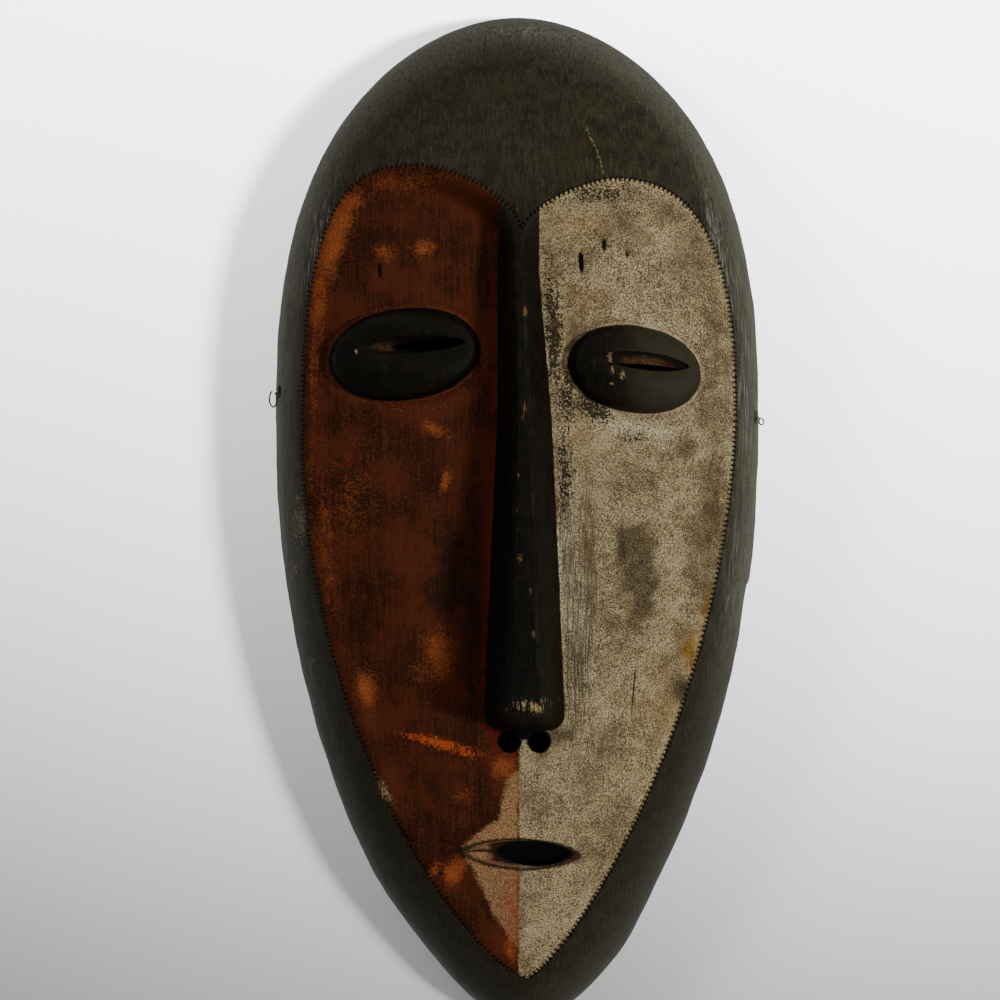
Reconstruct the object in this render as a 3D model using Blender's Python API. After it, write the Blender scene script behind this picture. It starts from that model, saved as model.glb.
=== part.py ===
"""A carved wooden face mask that lies on its rim, with the wire that it hangs from.

Metres. The origin is on the ground under the middle of the mask. +Z comes out of the
face, +Y points to the forehead and +X to the viewer's right.
"""

import math

import bpy
import numpy as np

# Size of the whole mask
MASK_LENGTH = 0.400
MASK_WIDTH = 0.192
DOME_HEIGHT = 0.064
FACE_HEIGHT = 0.050

# The egg outline. Its widest row lies above the middle, and the chin leans a little
WIDEST_ROW = 0.0362
CHIN_LEAN = 0.0030
LEAN_ROW = 0.135
LEAN_RUN = 0.040
TOP_ROUND = (1.85, 2.70)
CHIN_ROUND = (1.60, 1.95)
TIP_ROUND = 14

# The hollow behind the face
RIM_WIDTH = 0.010
CHIN_RIM = 0.020
BACK_WALL = 0.0115
NOSE_HOLLOW = 0.010
NOSE_HOLLOW_HALF = 0.008
NOSE_HOLLOW_TOP = 0.050
NOSE_HOLLOW_RISE = 0.060
NOSE_HOLLOW_FOOT = 0.0742
NOSE_HOLLOW_FALL = 0.020
RIM_CHAMFER = 0.0012

# The heart-shaped face zone inside the stitched line
LEDGE_DEPTH = 0.0020
LEDGE_WIDTH = 0.0100
LEFT_REACH = 0.0822
RIGHT_REACH = 0.0832
LEFT_BROW = (-0.0402, 0.1346)
RIGHT_BROW = (0.0362, 0.1290)
CLEFT = (0.0008, 0.1090)
CHIN_POINT = (0.0034, -0.1755)
LEFT_WIDE_ROW = 0.0290
RIGHT_WIDE_ROW = 0.0425

# The nose
BRIDGE_ROW = 0.1180
TIP_ROW = -0.0682
LIP_ROW = -0.0812
BRIDGE_RIDGE = 0.0560
TIP_HEIGHT = 0.0760
BRIDGE_HALF = 0.0069
TIP_HALF = 0.0152
BRIDGE_TOP_HALF = 0.0014
TIP_TOP_HALF = 0.0060
NOSE_LEAN = 0.0024
DRIFT_ROW = 0.105
DRIFT_RUN = 0.075
NOSE_CROWN = 0.0012

# The eyes: middle, half length, half height and tilt in degrees
EYE_BULGE = 0.0080
EYE_GROOVE = 0.0009
LID_DIP = 0.0026
LEFT_EYE = (-0.0431, 0.0632, 0.0284, 0.0170, 7.0)
RIGHT_EYE = (0.0441, 0.0576, 0.0251, 0.0160, -9.0)
LEFT_SLIT = (-0.0401, 0.0658, 0.0196, 0.0021, 2.7)
RIGHT_SLIT = (0.0474, 0.0606, 0.0170, 0.0021, -9.5)

# The mouth and the nostrils
LIPS = (0.0010, -0.1262, 0.0228, 0.0062, -2.0)
LIP_DEPTH = 0.0050
MOUTH = (0.0058, -0.1262, 0.0140, 0.0050, -1.5)
NOSTRIL_RADIUS = 0.0040
NOSTRIL_ROW = -0.0832
NOSTRIL_APART = 0.0112

# The side holes and the wire
HOLE_DIAMETER = 0.0050
HOLE_HEIGHT = 0.0200
LEFT_HOLE_ROW = 0.0505
RIGHT_HOLE_ROW = 0.0406
WIRE_DIAMETER = 0.0006
WIRE_BOW = 0.012
WIRE_CLEAR = 0.0005
WIRE_STRAIGHT = 0.004
CURL_STEP = 0.0014
CURL_LEAN = 0.0004
LEFT_CURL = (0.0013, 0.0030)
RIGHT_CURL = (0.0011, 0.0013)

# How finely the solids are cut
RINGS = 150
AROUND = 360
BACK_RINGS = 24
MOST_TRIANGLES = 8000


def smooth(x):
    x = np.clip(x, 0.0, 1.0)
    return x * x * (3.0 - 2.0 * x)


def lean(y):
    """How far the chin end is pushed sideways."""
    return CHIN_LEAN * smooth((-LEAN_ROW - y) / LEAN_RUN)


def egg(angle, half, top, bottom):
    """A point on the egg outline, about the middle of its widest row."""
    c = np.cos(angle)
    s = np.sin(angle)
    up = s >= 0
    qx = np.where(up, TOP_ROUND[0], CHIN_ROUND[0])
    qy = np.where(up, TOP_ROUND[1], CHIN_ROUND[1])
    x = half * np.sign(c) * np.abs(c) ** (2.0 / qx)
    y = np.where(up, top, bottom) * np.sign(s) * np.abs(s) ** (2.0 / qy)
    return x, y


def egg_sizes(side, end):
    """Half width, length above and length below the widest row, drawn in by these."""
    half = MASK_WIDTH / 2 - side
    top = MASK_LENGTH / 2 - WIDEST_ROW - side
    bottom = MASK_LENGTH / 2 + WIDEST_ROW - end
    return half, top, bottom


def egg_reach(sizes):
    """How far the outline is in each direction, with the chin's very tip rounded."""
    ex, ey = egg(np.linspace(-math.pi, math.pi, 2401), *sizes)
    way = np.linspace(-math.pi, math.pi, 1441)
    raw = np.interp(way, np.unwrap(np.arctan2(ey, ex)), np.hypot(ex, ey))
    part = np.hanning(2 * TIP_ROUND + 1)
    soft = np.concatenate([raw[-TIP_ROUND - 1 : -1], raw, raw[1 : TIP_ROUND + 1]])
    soft = np.convolve(soft, part / part.sum(), "valid")
    tip = len(way) // 4
    lost = (raw[tip] - soft[tip]) * np.exp(-(((way + math.pi / 2) / 0.16) ** 2))
    return way, soft + lost


def gauge(x, y, sizes):
    """0 at the middle of the egg and 1 on its outline."""
    way, out = egg_reach(sizes)
    return np.hypot(x, y) / np.interp(np.arctan2(y, x), way, out)


def quarter(start, end, power, steps=40):
    """A rounded quarter from start to end, which leaves start sideways."""
    a = np.linspace(0.0, math.pi / 2, steps, endpoint=False)
    u = np.sin(a) ** (2.0 / power)
    v = 1.0 - np.cos(a) ** (2.0 / power)
    x = start[0] + (end[0] - start[0]) * u
    y = start[1] + (end[1] - start[1]) * v
    return np.column_stack([x, y])


def side_quarter(start, end, powers, steps=60):
    """A long side from the widest point at start in to the chin point at end."""
    a = np.linspace(0.0, math.pi / 2, steps, endpoint=False)
    x = end[0] + (start[0] - end[0]) * np.cos(a) ** (2.0 / powers[0])
    y = start[1] + (end[1] - start[1]) * np.sin(a) ** (2.0 / powers[1])
    return np.column_stack([x, y])


def heart():
    """The stitched line, as a closed run of points."""
    left = (-LEFT_REACH, LEFT_WIDE_ROW)
    right = (RIGHT_REACH, RIGHT_WIDE_ROW)
    parts = [
        side_quarter(left, CHIN_POINT, (1.35, 1.82))[::-1],
        quarter(LEFT_BROW, left, 2.87)[::-1],
        quarter(LEFT_BROW, CLEFT, 1.6),
        quarter(RIGHT_BROW, CLEFT, 1.45)[::-1],
        quarter(RIGHT_BROW, right, 2.65),
        side_quarter(right, CHIN_POINT, (1.25, 1.75)),
    ]
    return np.vstack(parts)


def inside_depth(x, y, line):
    """Distance to the closed line, above zero inside it."""
    a = line
    b = np.roll(line, -1, axis=0)
    best = np.full(x.shape, 1e9)
    within = np.zeros(x.shape, bool)
    for (ax, ay), (bx, by) in zip(a, b):
        dx, dy = bx - ax, by - ay
        size = dx * dx + dy * dy
        if size < 1e-14:
            continue
        t = np.clip(((x - ax) * dx + (y - ay) * dy) / size, 0.0, 1.0)
        best = np.minimum(best, (x - ax - t * dx) ** 2 + (y - ay - t * dy) ** 2)
        crosses = (ay > y) != (by > y)
        if dy != 0:
            within ^= crosses & (x < ax + (y - ay) * dx / dy)
    return np.where(within, 1.0, -1.0) * np.sqrt(best)


def local(x, y, shape):
    """Coordinates along and across a tilted almond, as shares of its half sizes."""
    cx, cy, long_half, short_half, tilt = shape
    c = math.cos(math.radians(tilt))
    s = math.sin(math.radians(tilt))
    u = ((x - cx) * c + (y - cy) * s) / long_half
    v = (-(x - cx) * s + (y - cy) * c) / short_half
    return u, v


def nose_line(y):
    """The nose's middle: it drifts a little to one side on its way down."""
    return NOSE_LEAN * smooth((DRIFT_ROW - y) / DRIFT_RUN)


def nose_part(x, y, dome, ground):
    """How high the nose stands over the ground of the face."""
    run = np.clip((BRIDGE_ROW - y) / (BRIDGE_ROW - TIP_ROW), 0.0, 1.0)
    ridge = BRIDGE_RIDGE + (TIP_HEIGHT - BRIDGE_RIDGE) * run
    ridge = np.where(y < BRIDGE_ROW, np.maximum(ridge, dome), dome)
    top = BRIDGE_TOP_HALF + (TIP_TOP_HALF - BRIDGE_TOP_HALF) * run**1.6
    base = BRIDGE_HALF + (TIP_HALF - BRIDGE_HALF) * run
    off = np.abs(x - nose_line(y))
    e = np.clip((off - top) / (base - top), 0.0, 1.0)
    across = 1.0 - (0.65 * e + 0.35 * smooth(e))
    crown = NOSE_CROWN * np.clip(off / base, 0.0, 1.0) ** 2
    along = smooth((y - LIP_ROW) / (TIP_ROW - LIP_ROW))
    return np.maximum(ridge - crown - ground, 0.0) * across * along


def eye_part(x, y, eye, slit):
    """The raised almond of an eye, with the lids drawn down to its slit."""
    u, v = local(x, y, eye)
    r = (np.abs(u) ** 2.2 + np.abs(v) ** 2.0) ** 0.5
    edge = smooth((1.03 - r) / 0.12)
    bulge = EYE_BULGE * (0.42 * edge + 0.58 * np.clip(1.0 - r**2, 0.0, 1.0) ** 0.8)
    groove = -EYE_GROOVE * np.exp(-(((r - 1.07) / 0.06) ** 2))
    su, sv = local(x, y, slit)
    near = np.exp(-(np.abs(su) ** 4) - (sv / 2.6) ** 2)
    return bulge + groove - LID_DIP * near * (r < 1.0)


def front_height(x, y, line):
    """Height of the carved face over the ground."""
    sizes = egg_sizes(0.0, 0.0)
    t = np.clip(gauge(x - lean(y), y - WIDEST_ROW, sizes), 0.0, 1.0)
    dome = DOME_HEIGHT * (1.0 - t**2.3) ** (1 / 2.3)
    face = FACE_HEIGHT * (1.0 - t**5.0) ** (1 / 2.2)
    depth = inside_depth(x, y, line)
    k = smooth(depth / LEDGE_WIDTH)
    ground = dome - k * (np.maximum(dome - face, 0.0) + LEDGE_DEPTH)
    z = ground + nose_part(x, y, dome, ground)
    z = z + eye_part(x, y, LEFT_EYE, LEFT_SLIT)
    z = z + eye_part(x, y, RIGHT_EYE, RIGHT_SLIT)
    u, v = local(x, y, LIPS)
    r = np.abs(u) ** 1.7 + np.abs(v) ** 1.7
    return z - LIP_DEPTH * smooth((1.0 - r) / 0.55)


def back_height(x, y):
    """Height of the hollow's ceiling over the ground."""
    sizes = egg_sizes(RIM_WIDTH, CHIN_RIM)
    t = np.clip(gauge(x - lean(y), y - WIDEST_ROW, sizes), 0.0, 1.0)
    deep = (FACE_HEIGHT - BACK_WALL) * (1.0 - t**3.2) ** (1 / 2.3)
    across = np.exp(-(((x - nose_line(y)) / NOSE_HOLLOW_HALF) ** 2))
    foot = smooth((y + NOSE_HOLLOW_FOOT) / NOSE_HOLLOW_FALL)
    top = smooth((NOSE_HOLLOW_TOP - y) / NOSE_HOLLOW_RISE)
    return deep + NOSE_HOLLOW * across * foot * top


def even_outline(count, sizes):
    """Points at even steps along the egg outline."""
    way, out = egg_reach(sizes)
    ex = out * np.cos(way)
    ey = out * np.sin(way) + WIDEST_ROW
    run = np.concatenate([[0.0], np.cumsum(np.hypot(np.diff(ex), np.diff(ey)))])
    at = np.linspace(0.0, run[-1], count, endpoint=False)
    return np.interp(at, run, ex), np.interp(at, run, ey)


def mask_mesh():
    """The carved front, the flat rim and the hollow as one closed mesh."""
    line = heart()
    ox, oy = even_outline(AROUND, egg_sizes(0.0, 0.0))
    ix, iy = even_outline(AROUND, egg_sizes(RIM_WIDTH, CHIN_RIM))
    points = []
    for k in range(1, RINGS + 1):
        share = math.sin(math.pi / 2 * k / RINGS) ** 0.85
        x = ox * share
        y = oy * share
        x = x + lean(y)
        z = front_height(x, y, line)
        if k == RINGS:
            z = z * 0.0 + RIM_CHAMFER
        points.append(np.column_stack([x, y, np.maximum(z, RIM_CHAMFER)]))
    nx, ny = np.gradient(oy), -np.gradient(ox)
    size = np.hypot(nx, ny)
    x = ox - RIM_CHAMFER * nx / size
    y = oy - RIM_CHAMFER * ny / size
    points.append(np.column_stack([x + lean(y), y, 0.0 * x]))
    points.append(np.column_stack([ix + lean(iy), iy, 0.0 * ix]))
    for k in range(BACK_RINGS, 0, -1):
        share = math.sin(math.pi / 2 * k / (BACK_RINGS + 0.5)) ** 0.85
        x = ix * share
        y = iy * share
        x = x + lean(y)
        z = back_height(x, y)
        points.append(np.column_stack([x, y, np.maximum(z, RIM_CHAMFER)]))
    rings = len(points)
    mid = np.array([[0.0, 0.0]])
    top = front_height(mid[:, 0], mid[:, 1], line)[0]
    low = back_height(mid[:, 0], mid[:, 1])[0]
    verts = np.vstack(points + [[[0.0, 0.0, top]], [[0.0, 0.0, low]]])
    first, last = rings * AROUND, rings * AROUND + 1
    faces = []
    for k in range(rings - 1):
        for j in range(AROUND):
            n = (j + 1) % AROUND
            a, b = k * AROUND + j, k * AROUND + n
            faces.append((a, a + AROUND, b + AROUND, b))
    end = (rings - 1) * AROUND
    for j in range(AROUND):
        n = (j + 1) % AROUND
        faces.append((first, j, n))
        faces.append((last, end + n, end + j))
    return verts, faces


def add(name, verts, faces):
    mesh = bpy.data.meshes.new(name)
    mesh.from_pydata([tuple(map(float, v)) for v in verts], [], faces)
    mesh.validate()
    obj = bpy.data.objects.new(name, mesh)
    bpy.context.scene.collection.objects.link(obj)
    return obj


def settle(obj):
    """Turns the object's modifiers into its own mesh."""
    bpy.context.view_layer.update()
    graph = bpy.context.evaluated_depsgraph_get()
    mesh = bpy.data.meshes.new_from_object(obj.evaluated_get(graph))
    obj.modifiers.clear()
    obj.data = mesh


def prism(name, ring, low, high):
    """A closed cutter that carries a level ring of points from low to high."""
    count = len(ring)
    verts = [(x, y, low) for x, y in ring] + [(x, y, high) for x, y in ring]
    faces = [tuple(range(count))[::-1], tuple(range(count, 2 * count))]
    for j in range(count):
        n = (j + 1) % count
        faces.append((j, n, n + count, j + count))
    return add(name, verts, faces)


def almond(shape, count, power):
    cx, cy, long_half, short_half, tilt = shape
    c = math.cos(math.radians(tilt))
    s = math.sin(math.radians(tilt))
    ring = []
    for j in range(count):
        a = 2 * math.pi * (j + 0.5) / count
        u = math.cos(a)
        v = math.copysign(abs(math.sin(a)) ** power, math.sin(a))
        ring.append(
            (
                cx + u * long_half * c - v * short_half * s,
                cy + u * long_half * s + v * short_half * c,
            )
        )
    return ring


def side_cutter(name, row, side):
    """A level round cutter that goes through one side wall only."""
    out = MASK_WIDTH / 2
    ring = []
    for j in range(16):
        a = 2 * math.pi * j / 16
        r = HOLE_DIAMETER / 2
        ring.append((row + r * math.cos(a), HOLE_HEIGHT + r * math.sin(a)))
    near, far = (out - 3.0 * RIM_WIDTH, out + RIM_WIDTH)
    verts = [(side * near, y, z) for y, z in ring]
    verts += [(side * far, y, z) for y, z in ring]
    faces = [tuple(range(16)), tuple(range(16, 32))[::-1]]
    for j in range(16):
        n = (j + 1) % 16
        faces.append((j, j + 16, n + 16, n))
    if side > 0:
        faces = [f[::-1] for f in faces]
    return add(name, verts, faces)


def build_mask():
    verts, faces = mask_mesh()
    obj = add("mask", verts, faces)
    thin = obj.modifiers.new("fewer", "DECIMATE")
    thin.ratio = MOST_TRIANGLES / sum(len(f) - 2 for f in faces)
    thin.use_collapse_triangulate = True
    carved = obj.vertex_groups.new(name="carved")
    free = [v.index for v in obj.data.vertices if v.co.z > 2.5 * RIM_CHAMFER]
    carved.add(free, 1.0, "REPLACE")
    thin.vertex_group = "carved"
    settle(obj)
    for v in obj.data.vertices:
        if v.co.z < RIM_CHAMFER / 3:
            v.co.z = 0.0
    nose_x = float(nose_line(np.array(NOSTRIL_ROW)))
    reach = (-0.01, 2 * DOME_HEIGHT)
    cutters = [
        prism("cut_left_slit", almond(LEFT_SLIT, 24, 1.0), *reach),
        prism("cut_right_slit", almond(RIGHT_SLIT, 24, 1.0), *reach),
        prism("cut_mouth", almond(MOUTH, 24, 1.0), *reach),
    ]
    for side in (-1, 1):
        r = NOSTRIL_RADIUS
        at = (nose_x + side * NOSTRIL_APART / 2, NOSTRIL_ROW, r, r, 0.0)
        cutters.append(prism(f"cut_nostril{side}", almond(at, 16, 1.0), *reach))
    cutters.append(side_cutter("cut_left_hole", LEFT_HOLE_ROW, -1))
    cutters.append(side_cutter("cut_right_hole", RIGHT_HOLE_ROW, 1))
    for cutter in cutters:
        cutter.hide_render = True
        cutter.display_type = "WIRE"
        cut = obj.modifiers.new(cutter.name, "BOOLEAN")
        cut.operation = "DIFFERENCE"
        cut.solver = "EXACT"
        cut.object = cutter
    return obj


def wall_x(row, side):
    """Where the outer wall stands at the height of a side hole."""
    xs = np.linspace(0.5, 1.0, 400) * MASK_WIDTH / 2 * side
    ys = np.full(xs.shape, row)
    high = front_height(xs, ys, heart())
    return float(np.interp(-HOLE_HEIGHT, -high, xs))


def wire_path():
    """From the left curl, through both holes behind the face, to the right curl."""
    clear = WIRE_DIAMETER / 2 + WIRE_CLEAR
    left = wall_x(LEFT_HOLE_ROW, -1) - clear
    right = wall_x(RIGHT_HOLE_ROW, 1) + clear
    z = HOLE_HEIGHT
    path = []
    rx, ry = LEFT_CURL
    for j in range(15):
        a = math.radians(60 - 330 * (14 - j) / 14)
        x = left - rx + rx * math.cos(a)
        y = LEFT_HOLE_ROW - ry + ry * math.sin(a)
        far = (14 - j) / 14
        path.append((x - CURL_LEAN * far, y, z + CURL_STEP * far))
    across = np.linspace(left + WIRE_STRAIGHT, right - WIRE_STRAIGHT, 33)
    share = (across - across[0]) / (across[-1] - across[0])
    row = LEFT_HOLE_ROW + (RIGHT_HOLE_ROW - LEFT_HOLE_ROW) * share
    bow = WIRE_BOW * np.clip((share - 0.12) / 0.76, 0.0, 1.0)
    bow = WIRE_BOW * np.sin(math.pi * bow / WIRE_BOW) ** 2
    path += [(float(x), float(y + b), z) for x, y, b in zip(across, row, bow)]
    rx, ry = RIGHT_CURL
    for j in range(15):
        a = math.radians(100 - 330 * j / 14)
        x = right + rx + rx * math.cos(a)
        y = RIGHT_HOLE_ROW - ry - CURL_LEAN + ry * math.sin(a)
        path.append((x + CURL_LEAN * j / 14, y, z + CURL_STEP * j / 14))
    return np.array(path)


def tube(name, path, diameter, sides=8):
    """A round bar of even thickness along the path, closed at both ends."""
    way = np.gradient(path, axis=0)
    way /= np.linalg.norm(way, axis=1)[:, None]
    turn = np.cross(way[0], (0.0, 0.0, 1.0))
    verts = []
    for p, d in zip(path, way):
        turn = turn - d * np.dot(turn, d)
        turn /= np.linalg.norm(turn)
        other = np.cross(d, turn)
        for j in range(sides):
            a = 2 * math.pi * j / sides
            verts.append(
                p + diameter / 2 * (math.cos(a) * turn + math.sin(a) * other)
            )
    faces = [tuple(range(sides))[::-1]]
    count = len(path)
    faces.append(tuple(range((count - 1) * sides, count * sides)))
    for k in range(count - 1):
        for j in range(sides):
            n = (j + 1) % sides
            a, b = k * sides + j, k * sides + n
            faces.append((a, b, b + sides, a + sides))
    return add(name, verts, faces)


def paint(obj, colour, roughness, metallic):
    material = bpy.data.materials.new(obj.name + "_surface")
    material.use_nodes = True
    shader = material.node_tree.nodes["Principled BSDF"]
    shader.inputs["Base Color"].default_value = (*colour, 1.0)
    shader.inputs["Roughness"].default_value = roughness
    shader.inputs["Metallic"].default_value = metallic
    obj.data.materials.clear()
    obj.data.materials.append(material)


for old in list(bpy.data.objects):
    bpy.data.objects.remove(old, do_unlink=True)

mask = build_mask()
paint(mask, (0.035, 0.031, 0.025), 0.55, 0.0)
wire = tube("hanging_wire", wire_path(), WIRE_DIAMETER)
paint(wire, (0.16, 0.09, 0.06), 0.45, 0.9)
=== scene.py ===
import math
from functools import partialmethod
from itertools import groupby

import bpy
import numpy as np
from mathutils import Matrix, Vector, kdtree
from mathutils.geometry import delaunay_2d_cdt


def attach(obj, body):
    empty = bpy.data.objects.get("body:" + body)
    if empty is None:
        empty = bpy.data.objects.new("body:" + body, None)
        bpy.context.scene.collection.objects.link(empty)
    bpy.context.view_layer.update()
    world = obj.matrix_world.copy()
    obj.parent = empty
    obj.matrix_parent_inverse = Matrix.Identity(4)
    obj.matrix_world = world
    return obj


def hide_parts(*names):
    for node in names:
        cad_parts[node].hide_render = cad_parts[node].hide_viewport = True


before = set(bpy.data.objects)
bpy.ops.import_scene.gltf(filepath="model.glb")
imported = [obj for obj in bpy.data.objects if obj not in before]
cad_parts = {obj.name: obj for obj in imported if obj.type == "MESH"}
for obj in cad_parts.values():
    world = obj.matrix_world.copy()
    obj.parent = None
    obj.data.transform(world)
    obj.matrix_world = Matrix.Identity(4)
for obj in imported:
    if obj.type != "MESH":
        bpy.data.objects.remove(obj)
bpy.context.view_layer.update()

link = bpy.context.scene.collection.objects.link

# Sizes of the carved form, the same as those of the solids, in metres. A round shape is its
# middle, its two half sizes and its tilt in degrees.
MASK_LENGTH = 0.4
MASK_WIDTH = 0.192
DOME_HEIGHT = 0.064
DOME_POWER = 2.3
FACE_HEIGHT = 0.05
WIDEST_ROW = 0.0362
CHIN_LEAN = 0.003
LEAN_ROW = 0.135
LEAN_RUN = 0.04
TOP_ROUND = (1.85, 2.7)
CHIN_ROUND = (1.6, 1.95)
TIP_ROUND = 14
RIM_WIDTH = 0.01
CHIN_RIM = 0.02
BACK_WALL = 0.0115
RIM_CHAMFER = 0.0012
LEDGE_DEPTH = 0.002
LEDGE_WIDTH = 0.01
LEFT_REACH = 0.0822
RIGHT_REACH = 0.0832
LEFT_BROW = (-0.0402, 0.1346)
RIGHT_BROW = (0.0362, 0.129)
CLEFT = (0.0008, 0.109)
CHIN_POINT = (0.0034, -0.1755)
LEFT_WIDE_ROW = 0.029
RIGHT_WIDE_ROW = 0.0425
BRIDGE_ROW = 0.118
TIP_ROW = -0.0682
LIP_ROW = -0.0812
BRIDGE_RIDGE = 0.056
TIP_HEIGHT = 0.076
BRIDGE_HALF = 0.0069
TIP_HALF = 0.0152
BRIDGE_TOP_HALF = 0.0014
TIP_TOP_HALF = 0.006
NOSE_LEAN = 0.0024
EYE_BULGE = 0.008
LEFT_EYE = (-0.0431, 0.0632, 0.0284, 0.017, 7.0)
RIGHT_EYE = (0.0441, 0.0576, 0.0251, 0.016, -9.0)
LEFT_SLIT = (-0.0401, 0.0658, 0.0196, 0.0021, 2.7)
RIGHT_SLIT = (0.0474, 0.0606, 0.017, 0.0021, -9.5)
LEFT_LIDS = (-0.0405, 0.0665, 0.0209, 0.0033, 3.0)
RIGHT_LIDS = (0.0478, 0.0603, 0.0168, 0.0034, -6.5)
LEFT_GAP = (-0.0345, 0.0667, 0.0132, 0.0022, 4.0)
RIGHT_GAP = (0.0488, 0.0582, 0.0128, 0.001, -4.5)
LIPS = (0.001, -0.1262, 0.0228, 0.0062, -2.0)
LIP_DEPTH = 0.005
LIP_POWER = 1.7
EYE_POWER = 2.2
MOUTH = (0.0058, -0.1262, 0.014, 0.005, -1.5)
NOSTRIL_RADIUS = 0.004
NOSTRIL_ROW = -0.0832
NOSTRIL_APART = 0.0112
HOLE_DIAMETER = 0.005
HOLE_HEIGHT = 0.02
HOLE_WANDER = 0.04
LEFT_HOLE_ROW = 0.0505
RIGHT_HOLE_ROW = 0.0406
WIRE_DIAMETER = 0.0006
WIRE_BOW = 0.012

# Fine carving that the solids leave out
STITCH_PITCH = 0.0019
STITCH_DEPTH = 0.00055
GAP_DEPTH = 0.003
LID_DEPTH = 0.0011
MOST_DEPTH = 0.01
INNER_SHARE = 0.93
INNER_CLEAR = 0.0008 / 0.09
OUTLINE_POINTS = 720
WALL_RINGS = 16
BACK_RINGS = 30

# Nicks, as round shapes with their depth
NICKS = (
    (-0.0152, -0.1257, 0.0004, 0.0052, 88, 0.0006),
    (0.0238, 0.0981, 0.0008, 0.0036, 4, 0.0013),
    (0.0325, 0.1046, 0.0012, 0.0026, 0, 0.0006),
    (0.0412, 0.1012, 0.0011, 0.0018, 10, 0.0005),
    (-0.0525, 0.0951, 0.0006, 0.0028, 6, 0.001),
    (0.0437, -0.064, 0.0003, 0.0115, -5, 0.0006),
)


def smooth(x):
    x = np.clip(x, 0.0, 1.0)
    return x * x * (3.0 - 2.0 * x)


def lean(y):
    return CHIN_LEAN * smooth((-LEAN_ROW - y) / LEAN_RUN)


def egg(angle, side, end):
    """The outline, drawn in by side and, at the chin, by end."""
    c = np.cos(angle)
    s = np.sin(angle)
    up = s >= 0
    qx = np.where(up, TOP_ROUND[0], CHIN_ROUND[0])
    qy = np.where(up, TOP_ROUND[1], CHIN_ROUND[1])
    top = MASK_LENGTH / 2 - WIDEST_ROW - side
    bottom = MASK_LENGTH / 2 + WIDEST_ROW - end
    x = (MASK_WIDTH / 2 - side) * np.sign(c) * np.abs(c) ** (2.0 / qx)
    y = np.where(up, top, bottom) * np.sign(s) * np.abs(s) ** (2.0 / qy)
    return x, y


def egg_reach(side=0.0, end=0.0):
    """How far out the outline is at even angles, softened but with its chin at full length."""
    ex, ey = egg(np.linspace(-math.pi, math.pi, 2401), side, end)
    way = np.linspace(-math.pi, math.pi, 1441)
    raw = np.interp(way, np.unwrap(np.arctan2(ey, ex)), np.hypot(ex, ey))
    part = np.hanning(2 * TIP_ROUND + 1)
    soft = np.concatenate([raw[-TIP_ROUND - 1 : -1], raw, raw[1 : TIP_ROUND + 1]])
    soft = np.convolve(soft, part / part.sum(), "valid")
    tip = len(way) // 4
    lost = (raw[tip] - soft[tip]) * np.exp(-(((way + math.pi / 2) / 0.16) ** 2))
    return way, soft + lost


def gauge(x, y, side=0.0, end=0.0):
    """How far out a place is, as a share of the outline."""
    way, out = egg_reach(side, end)
    x = x - lean(y)
    y = y - WIDEST_ROW
    return np.hypot(x, y) / np.interp(np.arctan2(y, x), way, out)


def dome_at(share):
    """The height of the dome where the gauge is share."""
    return DOME_HEIGHT * (1.0 - share**DOME_POWER) ** (1 / DOME_POWER)


def tree_of(points):
    tree = kdtree.KDTree(len(points))
    for n, (x, y) in enumerate(points):
        tree.insert((x, y, 0.0), n)
    tree.balance()
    return tree


def quarter(start, end, power, steps=160):
    a = np.linspace(0.0, math.pi / 2, steps, endpoint=False)
    u = np.sin(a) ** (2.0 / power)
    v = 1.0 - np.cos(a) ** (2.0 / power)
    x = start[0] + (end[0] - start[0]) * u
    y = start[1] + (end[1] - start[1]) * v
    return np.column_stack([x, y])


def side_quarter(start, end, powers, steps=240):
    a = np.linspace(0.0, math.pi / 2, steps, endpoint=False)
    x = end[0] + (start[0] - end[0]) * np.cos(a) ** (2.0 / powers[0])
    y = start[1] + (end[1] - start[1]) * np.sin(a) ** (2.0 / powers[1])
    return np.column_stack([x, y])


def heart():
    """The stitched line as a closed run of points that starts at the chin."""
    left = (-LEFT_REACH, LEFT_WIDE_ROW)
    right = (RIGHT_REACH, RIGHT_WIDE_ROW)
    runs = [
        side_quarter(left, CHIN_POINT, (1.35, 1.82))[::-1],
        quarter(LEFT_BROW, left, 2.87)[::-1],
        quarter(LEFT_BROW, CLEFT, 1.6),
        quarter(RIGHT_BROW, CLEFT, 1.45)[::-1],
        quarter(RIGHT_BROW, right, 2.65),
        side_quarter(right, CHIN_POINT, (1.25, 1.75)),
    ]
    return np.vstack(runs)


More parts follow.
